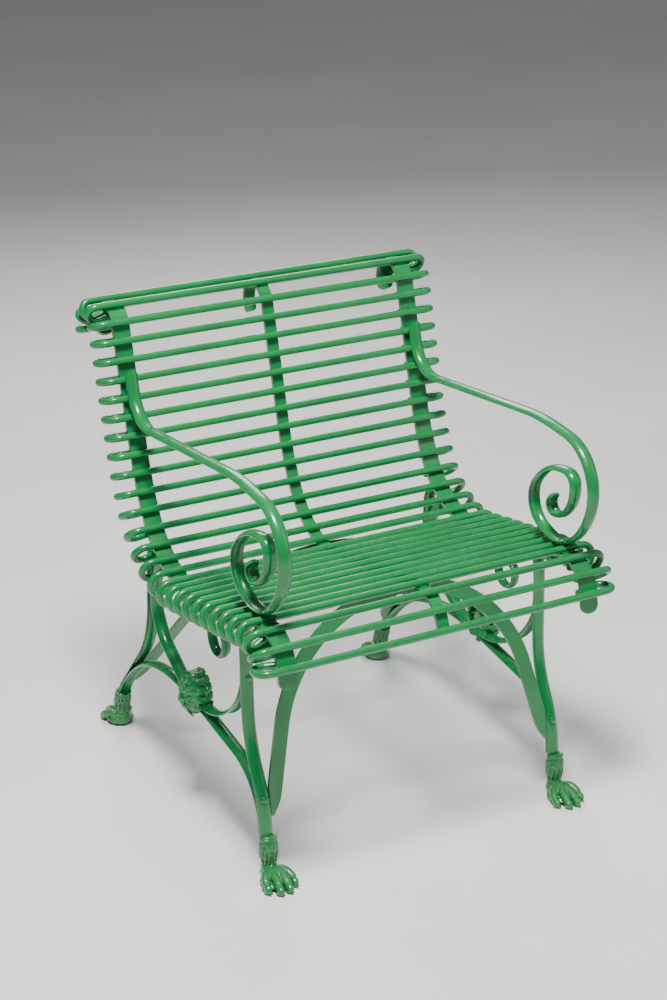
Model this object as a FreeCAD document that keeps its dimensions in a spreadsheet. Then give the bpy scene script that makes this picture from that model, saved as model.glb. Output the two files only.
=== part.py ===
import FreeCAD, Part
import math
import os
import Sketcher
from FreeCAD import Placement, Rotation, Vector

# Garden bench for one person, of wrought and cast iron: round rods on three rolled straps, two
# scrolled arms, hollow half-round legs and side bars on four cast lion's paws, a cast lion mask on
# each side, and an arch between the legs at the front and at the back.
#
# Frame: the bench faces -Y and +X is on the right of a person who looks at its front. The floor is
# z = 0, and the origin is under the middle of the whole bench. "Left" and "right" are that person's.

SIZES = {
    # round rods, bent back on themselves at both ends
    "rod_diameter": 12.0,
    "rod_span": 632.0,
    "hairpin_radius": 18.5,
    "hairpin_lean": 28.0,
    "roll_hairpin_radius": 13.5,
    "roll_hairpin_lean": 16.0,
    # straps under the rods, followed from the front lip up to the roll at the top
    "strap_thickness": 6.5,
    "side_strap_width": 30.0,
    "side_strap_corner": 13.0,
    "centre_strap_width": 20.0,
    "centre_strap_corner": 5.0,
    "side_spread": 528.0,
    "lip_front": 367.2,
    "lip_height": 362.3,
    "lip_lean": 83.3,
    "lip_drop": 33.0,
    "centre_lip_drop": 9.0,
    "front_roll_radius": 51.0,
    "front_roll_turn": 92.6,
    "seat_straight": 280.0,
    "corner_radius": 146.5,
    "corner_turn": 70.9,
    "lumbar_radius": 389.5,
    "lumbar_turn": 14.9,
    "back_straight": 208.0,
    "top_roll_radius": 35.6,
    "top_roll_turn": 205.0,
    # places of the rods along the straps
    "seat_rod_gaps": 13,
    "back_rod_gaps": 14,
    "roll_rods": 4,
    "seat_rods_end": 21.5,
    "back_rods_end": 8.2,
    "roll_rod_step": 43.0,
    # hollow half-round bar of the arms, legs and side bars
    "bar_width": 22.0,
    "bar_height": 8.0,
    "bar_lip": 1.5,
    "bar_wall": 1.6,
    "bar_hollow": 4.6,
    "nest_step": 4.1,
    "weld_gap": 0.2,
    # arms
    "arm_start_below_roll": 71.2,
    "arm_shoulder_radius": 62.0,
    "arm_rest_heading": 175.0,
    "arm_rest_radius": 400.0,
    "arm_rest_turn": 12.0,
    "arm_rest_front": 34.7,
    "arm_crest_radius": 81.0,
    "arm_crest_turn": 96.8,
    "arm_front_radius": 117.5,
    "arm_front_turn": 60.1,
    "arm_belly_radius": 40.0,
    "arm_belly_turn": 17.4,
    "arm_heel_radius": 112.5,
    "arm_heel_turn": 25.1,
    "arm_back_radius": 48.0,
    "arm_back_turn": 102.4,
    "arm_loop_radius": 114.5,
    "arm_loop_turn": 51.2,
    "arm_crook_radius": 22.0,
    "arm_crook_turn": 86.9,
    "arm_inner_radius": 61.5,
    "arm_inner_turn": 84.6,
    "arm_eye_radius": 16.0,
    "arm_eye_turn": 188.8,
    "arm_rests_at_rod": 4,
    # front legs
    "front_leg_at_rod": 6,
    "front_leg_root": 24.0,
    "front_leg_root_radius": 200.0,
    "front_knee_radius": 200.0,
    "front_knee_turn": 29.0,
    "collar_top": 74.0,
    # lower side bars, a hump from the front feet under the mask to the rear feet
    "hump_foot": 4.0,
    "hump_toe_radius": 101.5,
    "hump_heading": 8.8,
    "hump_crown_radius": 600.0,
    "hump_crown_turn": 10.6,
    "hump_rear_radius": 296.0,
    # rear legs
    "rear_leg_at_rod": 16,
    "rear_leg_root": 22.0,
    "rear_root_radius": 45.0,
    "rear_thigh_heading": 276.0,
    "rear_knee_radius": 198.0,
    "rear_knee_turn": 38.0,
    "rear_ankle_radius": 130.0,
    "rear_ankle_turn": 16.0,
    "foot_spread": 577.0,
    # upper side bars, a sag from the back corner down to the mask and up to the front legs
    "kiss_along": 40.0,
    "sag_at_rod": 15,
    "sag_root": 64.0,
    "sag_root_radius": 50.0,
    "sag_neck_heading": 277.0,
    "sag_heel_radius": 84.0,
    "sag_heel_turn": 67.0,
    "sag_bottom_radius": 80.0,
    "sag_rise_radius": 170.0,
    "sag_rise_heading": 118.0,
    "sag_end_radius": 30.0,
    "sag_end_lap": 12.0,
    "sag_end_height": 330.0,
    # hooks that hang under the seat
    "hook_at_rod": 10,
    "hook_drop": 62.0,
    "hook_radius": 27.0,
    "hook_turn": 171.0,
    "hook_rise": 8.0,
    "hook_curl_radius": 12.0,
    "hook_curl_turn": 100.0,
    "hook_tip": 12.0,
    "hook_width": 16.0,
    "hook_height": 5.0,
    # arches
    "arch_width": 24.0,
    "arch_thickness": 5.0,
    "arch_foot_height": 118.0,
    "arch_foot_heading": 55.0,
    "arch_foot_radius": 60.0,
    "arch_foot_turn": 22.0,
    "rear_arch_lean": 39.4,
    # castings
    "paw_width": 52.0,
    "paw_length": 88.0,
    "paw_heel": 13.0,
    "collar_width": 35.0,
    "collar_length": 24.0,
    "collar_height": 12.0,
    "mask_height": 88.0,
    "mask_width": 80.0,
    "mask_depth": 30.0,
    "mask_lift": 18.0,
    "mask_forward": 32.0,
}

PAW_LOBES = (
    # name, centre across, centre forwards of the heel, centre height, half width, half length,
    # half height; all as shares of the paw's width, length and collar height
    ("shin", 0.0, 0.17, 0.55, 0.27, 0.13, 0.38),
    ("ankle", 0.0, 0.24, 0.34, 0.31, 0.20, 0.34),
    ("pad", 0.0, 0.40, 0.15, 0.42, 0.38, 0.27),
    ("heel", 0.0, 0.12, 0.14, 0.25, 0.12, 0.20),
    ("left_outer_toe", -0.36, 0.72, 0.13, 0.14, 0.20, 0.20),
    ("left_inner_toe", -0.125, 0.78, 0.15, 0.14, 0.22, 0.23),
    ("right_inner_toe", 0.125, 0.78, 0.15, 0.14, 0.22, 0.23),
    ("right_outer_toe", 0.36, 0.72, 0.13, 0.14, 0.20, 0.20),
)

MASK_LOBES = (
    # name, centre across, centre height, centre outwards, half width, half height, half depth;
    # all as shares of the mask's width, height and depth
    ("mane", 0.0, 0.0, 0.0, 0.43, 0.44, 0.50),
    ("face", 0.0, 0.03, 0.25, 0.28, 0.32, 0.52),
    ("muzzle", 0.0, -0.12, 0.60, 0.17, 0.13, 0.34),
    ("nose", 0.0, -0.05, 0.84, 0.07, 0.05, 0.16),
    ("chin", 0.0, -0.27, 0.48, 0.10, 0.08, 0.30),
    ("left_brow", -0.12, 0.14, 0.52, 0.12, 0.06, 0.22),
    ("right_brow", 0.12, 0.14, 0.52, 0.12, 0.06, 0.22),
    ("left_ear", -0.27, 0.30, 0.20, 0.09, 0.10, 0.26),
    ("right_ear", 0.27, 0.30, 0.20, 0.09, 0.10, 0.26),
)

SIDES = {"left": -1.0, "right": 1.0}

doc = FreeCAD.newDocument("garden_bench")
sheet = doc.addObject("Spreadsheet::Sheet", "sizes")
parts = []


class Size(float):
    """A number that remembers the spreadsheet formula it comes from."""

    def __new__(cls, value, formula):
        number = float.__new__(cls, value)
        number.formula = formula
        return number

    def __add__(self, other):
        return Size(float(self) + float(other), "(%s + %s)" % (self.formula, formula_of(other)))

    def __sub__(self, other):
        return Size(float(self) - float(other), "(%s - %s)" % (self.formula, formula_of(other)))

    def __mul__(self, other):
        return Size(float(self) * float(other), "(%s * %s)" % (self.formula, formula_of(other)))

    def __truediv__(self, other):
        return Size(float(self) / float(other), "(%s / %s)" % (self.formula, formula_of(other)))

    def __neg__(self):
        return Size(-float(self), "(-1 * %s)" % self.formula)


def formula_of(number):
    """The spreadsheet formula of a Size, or a plain number written out."""
    return number.formula if isinstance(number, Size) else repr(float(number))


def write_cell(name, value):
    """Add one named value to the spreadsheet and return it as a Size."""
    write_cell.row += 1
    sheet.set("A%d" % write_cell.row, name)
    sheet.set("B%d" % write_cell.row, repr(float(value)))
    sheet.setAlias("B%d" % write_cell.row, name)
    return Size(value, "sizes." + name)


write_cell.row = 0


def size(name):
    """A driving size by name."""
    return Size(SIZES[name], "sizes." + name)


def bind(thing, prop, number):
    """Set a property of a document object and tie it to the sheet if the number has a formula."""
    setattr(thing, prop, float(number))
    if isinstance(number, Size):
        thing.setExpression(prop, number.formula)


# ---------------------------------------------------------------- routes of lines and arcs


def line(length):
    """A straight run. A length of None is worked out by close_route."""
    return ("line", length)


def arc(radius, turn):
    """A bend of a radius; a positive turn in degrees is to the left of the way of travel."""
    return ("arc", radius, turn)


def ahead(heading):
    """Unit vector of a heading in degrees."""
    return (math.cos(math.radians(heading)), math.sin(math.radians(heading)))


def shifted(point, heading, forward, left):
    """A point moved forward and to the left of a heading."""
    along, up = ahead(heading)
    return (point[0] + along * forward - up * left, point[1] + up * forward + along * left)


class Route:
    """A chain of straight runs and tangent arcs in a plane."""

    def __init__(self, start, heading, runs):
        self.start = start
        self.heading = heading
        self.runs = runs
        self.legs = []
        point, way = start, float(heading)
        for run in runs:
            length = self.run_length(run)
            self.legs.append((point, way, length))
            point, way = self.after(run, point, way, length)
        self.end = point
        self.end_heading = way
        self.length = sum(leg[2] for leg in self.legs)

    @staticmethod
    def run_length(run):
        if run[0] == "line":
            return float(run[1] or 0.0)
        return float(run[1]) * math.radians(abs(float(run[2])))

    @staticmethod
    def after(run, point, heading, distance):
        """Where a run has got to after a distance, and its heading there."""
        if run[0] == "line":
            return shifted(point, heading, distance, 0.0), heading
        side = math.copysign(float(run[1]), float(run[2]))
        turned = math.degrees(distance / side)
        centre = shifted(point, heading, 0.0, side)
        return shifted(centre, heading + turned, 0.0, -side), heading + turned

    def at(self, distance):
        """Point and heading at a distance from the start."""
        for run, (point, way, length) in zip(self.runs, self.legs):
            if distance <= length or run is self.runs[-1]:
                return self.after(run, point, way, distance)
            distance -= length
        return self.end, self.end_heading

    def distance_to_run(self, index):
        """Distance from the start to the start of a run."""
        return sum(leg[2] for leg in self.legs[:index])

    def parallel(self, left):
        """The same route moved to the left by a distance."""
        runs = []
        for run in self.runs:
            if run[0] == "line":
                runs.append(run)
            else:
                runs.append(arc(run[1] - left * math.copysign(1.0, float(run[2])), run[2]))
        return Route(shifted(self.start, self.heading, 0.0, left), self.heading, runs)


def close_route(start, heading, runs, target, name):
    """Work out the two open straight runs so that the route ends at the target."""
    loose = Route(start, heading, runs)
    gaps = [index for index, run in enumerate(runs) if run[0] == "line" and run[1] is None]
    ways = [ahead(loose.legs[index][1]) for index in gaps]
    need = (target[0] - loose.end[0], target[1] - loose.end[1])
    cross = ways[0][0] * ways[1][1] - ways[0][1] * ways[1][0]
    first = (need[0] * ways[1][1] - need[1] * ways[1][0]) / cross
    second = (ways[0][0] * need[1] - ways[0][1] * need[0]) / cross
    if first <= 0.0 or second <= 0.0:
        raise ValueError("%s cannot reach its end: runs of %.1f and %.1f" % (name, first, second))
    closed = list(runs)
    closed[gaps[0]] = line(write_cell(name + "_first_straight", first))
    closed[gaps[1]] = line(write_cell(name + "_second_straight", second))
    return Route(start, heading, closed)


def draw_route(sketch, route):
    """Draw a route in a sketch, with its runs tangent and its sizes tied to the sheet."""
    ends = []
    for index, (run, (point, way, length)) in enumerate(zip(route.runs, route.legs)):
        last, last_way = route.after(run, point, way, length)
        if run[0] == "line":
            geometry = Part.LineSegment(Vector(*point, 0), Vector(*last, 0))
            ends.append((1, 2))
        else:
            side = math.copysign(float(run[1]), float(run[2]))
            centre = shifted(point, way, 0.0, side)
            circle = Part.Circle(Vector(*centre, 0), Vector(0, 0, 1), float(run[1]))
            sweep = sorted((way, last_way))
            turn_back = -90.0 if side > 0 else 90.0
            first_angle, last_angle = (math.radians(angle + turn_back) for angle in sweep)
            geometry = Part.ArcOfCircle(circle, first_angle, last_angle)
            ends.append((1, 2) if side > 0 else (2, 1))
        sketch.addGeometry(geometry, False)
    for index in range(len(route.runs) - 1):
        joint = Sketcher.Constraint("Tangent", index, ends[index][1], index + 1, ends[index + 1][0])
        sketch.addConstraint(joint)
    first = ends[0][0]
    fix(sketch, Sketcher.Constraint("DistanceX", 0, first, float(route.start[0])), route.start[0])
    fix(sketch, Sketcher.Constraint("DistanceY", 0, first, float(route.start[1])), route.start[1])
    way = (float(route.heading) + 180.0) % 360.0 - 180.0
    fix(sketch, Sketcher.Constraint("Angle", 0, math.radians(way)), way)
    for index, run in enumerate(route.runs):
        if run[0] == "line":
            fix(sketch, Sketcher.Constraint("Distance", index, float(run[1])), run[1])
        else:
            turn = Size(abs(run[2]), "abs(%s)" % formula_of(run[2]))
            fix(sketch, Sketcher.Constraint("Radius", index, float(run[1])), run[1])
            fix(sketch, Sketcher.Constraint("Angle", index, math.radians(turn)), turn)


def fix(sketch, constraint, number):
    """Add a constraint and tie its value to the sheet if the number has a formula."""
    index = sketch.addConstraint(constraint)
    if isinstance(number, Size):
        sketch.setExpression("Constraints[%d]" % index, number.formula)


# ---------------------------------------------------------------- bodies


def new_body(label):
    """An empty body that will be exported under its label."""
    body = doc.addObject("PartDesign::Body", label)
    body.Label = label
    parts.append(body)
    return body


def new_sketch(body, name, plane, place=None):
    """A sketch on one of the body's own origin planes, moved within that plane's frame."""
    sketch = body.newObject("Sketcher::SketchObject", name)
    support = [item for item in body.Origin.OriginFeatures if item.Role == plane][0]
    sketch.AttachmentSupport = (support, "")
    sketch.MapMode = "FlatFace"
    if place:
        sketch.AttachmentOffset = place
    return sketch


def cross_place(plane, point, heading):
    """Which plane, and how moved, lies square across a route at a point of it."""
    if plane == "YZ_Plane":
        return "XZ_Plane", Placement(Vector(0, point[1], -point[0]), Rotation(Vector(1, 0, 0), heading))
    if plane == "XZ_Plane":
        return "YZ_Plane", Placement(Vector(0, point[1], point[0]), Rotation(Vector(1, 0, 0), -heading))
    return "YZ_Plane", Placement(Vector(point[1], 0, point[0]), Rotation(Vector(0, 1, 0), heading))


def sweep(body, plane, route, draw_section):
    """Sweep a section along a route that lies in one of the body's planes."""
    path = new_sketch(body, "route", plane)
    draw_route(path, route)
    section = new_sketch(body, "section", *cross_place(plane, route.start, float(route.heading)))
    draw_section(section)
    doc.recompute()
    pipe = body.newObject("PartDesign::AdditivePipe", "bar")
    pipe.Profile = section
    pipe.Spine = path
    if plane == "YZ_Plane":
        pipe.Mode = "Binormal"
        pipe.Binormal = Vector(1, 0, 0)
    body.Tip = pipe
    return pipe


def outline(sketch, corners):
    """A closed outline: each corner is (x, y), or (x, y, rise) if the edge after it is an arc.

    The rise of an arc is its height over its chord, to the left of the way round.
    """
    ends = []
    for index, corner in enumerate(corners):
        following = corners[(index + 1) % len(corners)]
        if len(corner) == 2:
            edge = Part.LineSegment(Vector(*corner[:2], 0), Vector(*following[:2], 0))
            ends.append((1, 2))
        else:
            edge, forwards = risen_arc(corner, following, float(corner[2]))
            ends.append((1, 2) if forwards else (2, 1))
        sketch.addGeometry(edge, False)
    for index, corner in enumerate(corners):
        after = (index + 1) % len(corners)
        joint = (index, ends[index][1], after, ends[after][0])
        sketch.addConstraint(Sketcher.Constraint("Coincident", *joint))
    for index, corner in enumerate(corners):
        first = ends[index][0]
        fix(sketch, Sketcher.Constraint("DistanceX", index, first, float(corner[0])), corner[0])
        fix(sketch, Sketcher.Constraint("DistanceY", index, first, float(corner[1])), corner[1])
        if len(corner) == 3:
            radius = sketch.Geometry[index].Radius
            fix(sketch, Sketcher.Constraint("Radius", index, radius), radius)


def risen_arc(start, end, rise):
    """An arc from start to end that rises to the left, and whether it is drawn start first."""
    wide, tall = float(end[0]) - float(start[0]), float(end[1]) - float(start[1])
    chord = math.hypot(wide, tall)
    radius = (chord ** 2 / 4 + rise ** 2) / (2 * abs(rise))
    depth = rise - math.copysign(radius, rise)
    centre_x = float(start[0]) + wide / 2 - tall / chord * depth
    centre_y = float(start[1]) + tall / 2 + wide / chord * depth
    first = math.atan2(float(start[1]) - centre_y, float(start[0]) - centre_x)
    last = math.atan2(float(end[1]) - centre_y, float(end[0]) - centre_x)
    forwards = rise < 0
    if not forwards:
        first, last = last, first
    if last < first:
        last += 2 * math.pi
    circle = Part.Circle(Vector(centre_x, centre_y, 0), Vector(0, 0, 1), radius)
    return Part.ArcOfCircle(circle, first, last), forwards


def flat_section(width, thickness):
    """Section of a flat bar."""

    def draw(sketch):
        half_width = width / 2
        half_thickness = thickness / 2
        outline(sketch, (
            (-half_width, -half_thickness),
            (half_width, -half_thickness),
            (half_width, half_thickness),
            (-half_width, half_thickness),
        ))

    return draw


def round_section(diameter):
    """Section of a round rod."""

    def draw(sketch):
        sketch.addGeometry(Part.Circle(Vector(0, 0, 0), Vector(0, 0, 1), float(diameter) / 2), False)
        sketch.addConstraint(Sketcher.Constraint("Coincident", 0, 3, -1, 1))
        fix(sketch, Sketcher.Constraint("Diameter", 0, float(diameter)), diameter)

    return draw


def half_round_section(width, height, crown):
    """Section of a hollow half-round bar; crown 1 is round to the left of the route, -1 to its right."""
    half = width / 2
    flat = height * (-0.5 * crown)
    lip = flat + size("bar_lip") * crown
    edge = half - size("bar_wall")
    hollow = SIZES["bar_hollow"] * float(height) / SIZES["bar_height"]
    bulge = float(height) - SIZES["bar_lip"]

    def draw(sketch):
        outline(sketch, (
            (-half, lip, crown * bulge),
            (half, lip),
            (half, flat),
            (edge, flat, -crown * hollow),
            (-edge, flat),
            (-half, flat),
        ))

    return draw


def round_corners(body, thickness, radius):
    """Round the four corners of a strap's two ends."""
    doc.recompute()
    bar = body.Tip
    names = []
    for index, edge in enumerate(bar.Shape.Edges):
        if abs(edge.Length - float(thickness)) < 0.01 and len(edge.Vertexes) == 2:
            names.append("Edge%d" % (index + 1))
    fillet = body.newObject("PartDesign::Fillet", "rounded_ends")
    fillet.Base = (bar, names)
    bind(fillet, "Radius", radius)
    body.Tip = fillet



def round_tip(body, point, heading, width):
    """Round off the end of a bar, seen square on; the heading points out of the bar."""
    half = float(width) / 2
    plane, place = cross_place("YZ_Plane", point, heading - 90.0)
    sketch = new_sketch(body, "tip", plane, place)
    rise = 0.95 * half
    reach = half + 2.0
    outline(sketch, (
        (-half, -rise, rise),
        (half, -rise),
        (reach, -rise),
        (reach, 2.0),
        (-reach, 2.0),
        (-reach, -rise),
    ))
    doc.recompute()
    solid = body.Tip.Shape.Volume
    pocket = body.newObject("PartDesign::Pocket", "rounded_tip")
    pocket.Profile = sketch
    pocket.Midplane = True
    pocket.Length = 3.0 * SIZES["bar_height"]
    body.Tip = pocket
    doc.recompute()
    if pocket.Shape.Volume >= solid:
        raise ValueError("the tip of %s cuts nothing" % body.Label)


# ---------------------------------------------------------------- the straps and their rods


def strap_route(lip_drop):
    """Middle line of a strap, from a drop below the first rod up to the end of the roll."""
    heading = size("lip_lean")
    bottom = (-size("lip_front"), size("lip_height"))
    start = shifted(bottom, float(heading), SIZES["lip_drop"] - float(lip_drop), 0.0)
    runs = [
        line(lip_drop),
        arc(size("front_roll_radius"), -size("front_roll_turn")),
        line(size("seat_straight")),
        arc(size("corner_radius"), size("corner_turn")),
        arc(size("lumbar_radius"), size("lumbar_turn")),
        line(size("back_straight")),
        arc(size("top_roll_radius"), -size("top_roll_turn")),
    ]
    return Route(bottom if start == bottom else start, heading, runs)


def rod_offset():
    """From the middle of a strap out to the middle of the rods welded on it."""
    return SIZES["rod_diameter"] / 2 + SIZES["strap_thickness"] / 2 + SIZES["weld_gap"]


def rod_places(rod_line):
    """Distances of the rods along the line of their centres, from the front lip to the roll."""
    first = SIZES["lip_drop"]
    corner = rod_line.runs[3][1] * math.radians(SIZES["seat_rods_end"])
    last_seat = rod_line.distance_to_run(3) + corner
    roll_radius = float(rod_line.runs[6][1])
    last_back = rod_line.distance_to_run(6) + roll_radius * math.radians(SIZES["back_rods_end"])
    seat_gaps, back_gaps = SIZES["seat_rod_gaps"], SIZES["back_rod_gaps"]
    places = [first + (last_seat - first) * index / seat_gaps for index in range(seat_gaps + 1)]
    step = (last_back - last_seat) / back_gaps
    places += [last_seat + step * (index + 1) for index in range(back_gaps)]
    roll_step = roll_radius * math.radians(SIZES["roll_rod_step"])
    places += [last_back + roll_step * (index + 1) for index in range(SIZES["roll_rods"])]
    return places


def make_straps():
    """The two side straps and the centre strap."""
    for side, sign in SIDES.items():
        body = new_body(side + "_strap")
        route = strap_route(size("lip_drop"))
        sweep(body, "YZ_Plane", route, flat_section(size("side_strap_width"), size("strap_thickness")))
        round_corners(body, size("strap_thickness"), size("side_strap_corner"))
        body.Placement = side_place(sign)
    body = new_body("centre_strap")
    route = strap_route(size("centre_lip_drop"))
    sweep(body, "YZ_Plane", route, flat_section(size("centre_strap_width"), size("strap_thickness")))
    round_corners(body, size("strap_thickness"), size("centre_strap_corner"))


def side_place(sign):
    """Placement of a side part: -1 is the left side and +1 the right."""
    return Placement(Vector(sign * SIZES["side_spread"] / 2, 0, 0), Rotation())


def hairpin_route(radius_name, lean_name):
    """A rod with its two hairpins, in its own plane: x along the rod, y away from the straps."""
    radius, lean = size(radius_name), size(lean_name)
    tilt = math.radians(lean)
    half_rod = SIZES["rod_diameter"] / 2
    landing = half_rod + SIZES["strap_thickness"] + 2 * SIZES["weld_gap"] + half_rod * math.cos(tilt)
    fall = radius * (1 + math.cos(tilt)) - landing
    tail = fall / math.sin(tilt)
    middle = SIZES["rod_span"] / 2 - half_rod - float(radius)
    end_x = middle - radius * math.sin(tilt) - tail * math.cos(tilt)
    runs = [
        line(write_once(radius_name.replace("radius", "tail"), tail)),
        arc(radius, -(lean + 180.0)),
        line(write_once(radius_name.replace("radius", "straight"), 2 * middle)),
        arc(radius, -(lean + 180.0)),
        line(write_once(radius_name.replace("radius", "tail"), tail)),
    ]
    return Route((-end_x, -landing), lean + 180.0, runs)


def write_once(name, value):
    """Like write_cell, but a name that is already there is only looked up."""
    if name in written:
        return written[name]
    written[name] = write_cell(name, value)
    return written[name]


def make_rods(rod_line, places):
    """All the round rods, numbered from the front lip."""
    flat_rods = len(places) - SIZES["roll_rods"]
    for index, place in enumerate(places):
        kind = "hairpin" if index < flat_rods else "roll_hairpin"
        route = hairpin_route(kind + "_radius", kind + "_lean")
        body = new_body("rod_%02d" % (index + 1))
        sweep(body, "XY_Plane", route, round_section(size("rod_diameter")))
        (y, z), heading = rod_line.at(place)
        body.Placement = Placement(Vector(0, y, z), Rotation(Vector(1, 0, 0), heading + 90.0))


def root_under(rod_line, places, rod):
    """Where a bar is welded under a strap: halfway between a rod and the next, and its heading."""
    point, heading = rod_line.at((places[rod - 1] + places[rod]) / 2)
    depth = rod_offset() + SIZES["strap_thickness"] / 2 + SIZES["weld_gap"]
    return shifted(point, heading, 0.0, -depth), heading - 90.0


# ---------------------------------------------------------------- arms, legs and side bars


def make_bars(label, route, crown, width=None, height=None, rounded=()):
    """One half-round bar on each side; "rounded" names the ends that are cut round."""
    width = width or size("bar_width")
    height = height or size("bar_height")
    for side, sign in SIDES.items():
        body = new_body(side + "_" + label)
        sweep(body, "YZ_Plane", route, half_round_section(width, height, crown))
        doc.recompute()
        if "start" in rounded:
            round_tip(body, route.start, float(route.heading) + 180.0, width)
        if "end" in rounded:
            round_tip(body, route.end, route.end_heading, width)
        body.Placement = side_place(sign)


def arm_route(rod_line, places):
    """From the arm's end on the back rods, over the arm rest, round the scroll to its eye."""
    half_bar = SIZES["rod_diameter"] / 2 + SIZES["bar_height"] / 2 + SIZES["weld_gap"]
    top = rod_line.distance_to_run(6) - SIZES["arm_start_below_roll"]
    point, heading = rod_line.at(top)
    start = shifted(point, heading, 0.0, half_bar)
    down = heading - 180.0 + 360.0
    rest_heading = SIZES["arm_rest_heading"]
    middle = (places[SIZES["arm_rests_at_rod"] - 1] + places[SIZES["arm_rests_at_rod"]]) / 2
    point, seat_heading = rod_line.at(middle)
    half_gap = middle - places[SIZES["arm_rests_at_rod"] - 1]
    outside = SIZES["arm_belly_radius"] + SIZES["bar_height"] / 2
    touching = outside + SIZES["rod_diameter"] / 2 + SIZES["weld_gap"]
    rise = math.sqrt(touching ** 2 - half_gap ** 2) - SIZES["arm_belly_radius"]
    rest = shifted(point, seat_heading, 0.0, rise)
    turned = SIZES["arm_rest_turn"] + SIZES["arm_crest_turn"] + SIZES["arm_front_turn"]
    first_belly = 360.0 + seat_heading - rest_heading - turned
    runs = [
        line(None),
        arc(size("arm_shoulder_radius"), -write_cell("arm_shoulder_turn", down - rest_heading)),
        line(None),
        arc(size("arm_rest_radius"), size("arm_rest_turn")),
        line(size("arm_rest_front")),
        arc(size("arm_crest_radius"), size("arm_crest_turn")),
        arc(size("arm_front_radius"), size("arm_front_turn")),
        arc(size("arm_belly_radius"), first_belly),
    ]
    runs = close_route(start, down, runs, rest, "arm").runs
    runs[-1] = arc(size("arm_belly_radius"), size("arm_belly_turn"))
    for bend in ("heel", "back", "loop", "crook", "inner", "eye"):
        runs.append(arc(size("arm_%s_radius" % bend), size("arm_%s_turn" % bend)))
    return Route(start, down, runs)


def front_leg_route(rod_line, places):
    """From under the seat down to the front paw."""
    start, heading = root_under(rod_line, places, SIZES["front_leg_at_rod"])
    heading += 360.0
    knee, turn = size("front_knee_radius"), size("front_knee_turn")
    runs = [
        line(size("front_leg_root")),
        arc(size("front_leg_root_radius"), write_cell("front_leg_root_turn", 270.0 - heading)),
        line(None),
        arc(knee, -turn),
        arc(knee, turn),
    ]
    loose = Route(start, heading, runs)
    runs[2] = line(write_cell("front_leg_straight", loose.end[1] - bar_bottom()))
    return Route(start, heading, runs)


def bar_bottom():
    """Height of the lower ends of the legs, just above the collars of the paws."""
    return SIZES["collar_top"] + SIZES["weld_gap"]


def rear_leg_route(rod_line, places, front_foot):
    """From under the back corner down to the rear paw."""
    start, heading = root_under(rod_line, places, SIZES["rear_leg_at_rod"])
    heading += 360.0
    target = (front_foot[0] + SIZES["foot_spread"], bar_bottom())
    runs = [
        line(size("rear_leg_root")),
        arc(size("rear_root_radius"),
            -write_cell("rear_root_turn", heading - SIZES["rear_thigh_heading"])),
        line(None),
        arc(size("rear_knee_radius"), size("rear_knee_turn")),
        line(None),
        arc(size("rear_ankle_radius"), -size("rear_ankle_turn")),
    ]
    return close_route(start, heading, runs, target, "rear_leg")


def hump_route(front_leg, rear_leg):
    """From inside the front leg's foot, under the mask, to inside the rear leg's foot."""
    nest = size("nest_step")
    start = shifted(front_leg.end, front_leg.end_heading, 0.0, float(nest))
    target = shifted(rear_leg.end, rear_leg.end_heading, 0.0, -float(nest))
    lap_heading = rear_leg.end_heading + SIZES["rear_ankle_turn"] - 360.0
    toe_turn = write_cell("hump_toe_turn", 90.0 - SIZES["hump_heading"])
    crown_end = SIZES["hump_heading"] - SIZES["hump_crown_turn"]
    rear_turn = write_cell("hump_rear_turn", crown_end - lap_heading)
    runs = [
        line(size("hump_foot")),
        arc(size("hump_toe_radius"), -toe_turn),
        line(None),
        arc(size("hump_crown_radius"), -size("hump_crown_turn")),
        arc(size("hump_rear_radius"), -rear_turn),
        line(None),
        arc(size("rear_ankle_radius") - nest, -size("rear_ankle_turn")),
    ]
    return close_route(start, 90.0, runs, target, "hump")


def kiss_point(hump):
    """The joint behind the mask, on the crown of the hump."""
    return hump.at(hump.distance_to_run(3) + SIZES["kiss_along"])


def sag_route(rod_line, places, front_leg, hump):
    """From under the back corner down onto the hump behind the mask, and up to the front leg."""
    start, heading = root_under(rod_line, places, SIZES["sag_at_rod"])
    heading += 360.0
    point, hump_heading = kiss_point(hump)
    kiss = shifted(point, hump_heading, 0.0, SIZES["nest_step"])
    bottom_heading = hump_heading + 180.0
    neck = SIZES["sag_neck_heading"]
    bottom_turn = neck - SIZES["sag_heel_turn"] - bottom_heading
    down = [
        line(size("sag_root")),
        arc(size("sag_root_radius"), -write_cell("sag_root_turn", heading - neck)),
        line(None),
        arc(size("sag_heel_radius"), -size("sag_heel_turn")),
        line(None),
        arc(size("sag_bottom_radius"), -write_cell("sag_bottom_turn", bottom_turn)),
    ]
    rise = SIZES["sag_rise_heading"]
    up = [
        line(None),
        arc(size("sag_rise_radius"), -write_cell("sag_rise_turn", bottom_heading - rise)),
        line(None),
        arc(size("sag_end_radius"), -write_cell("sag_end_turn", rise - 90.0)),
        line(size("sag_end_lap")),
    ]
    behind_leg = SIZES["bar_height"] + SIZES["weld_gap"]
    target = (front_leg.legs[3][0][0] + behind_leg, SIZES["sag_end_height"])
    down = close_route(start, heading, down, kiss, "sag_rear").runs
    up = close_route(kiss, bottom_heading, up, target, "sag_front").runs
    return Route(start, heading, down + up)


def hook_route(rod_line, places):
    """A hook hanging under the seat and curling up towards the front."""
    start, heading = root_under(rod_line, places, SIZES["hook_at_rod"])
    return Route(start, heading + 360.0, [
        line(size("hook_drop")),
        arc(size("hook_radius"), -size("hook_turn")),
        line(size("hook_rise")),
        arc(size("hook_curl_radius"), -size("hook_curl_turn")),
        line(size("hook_tip")),
    ])


# ---------------------------------------------------------------- arches


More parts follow.
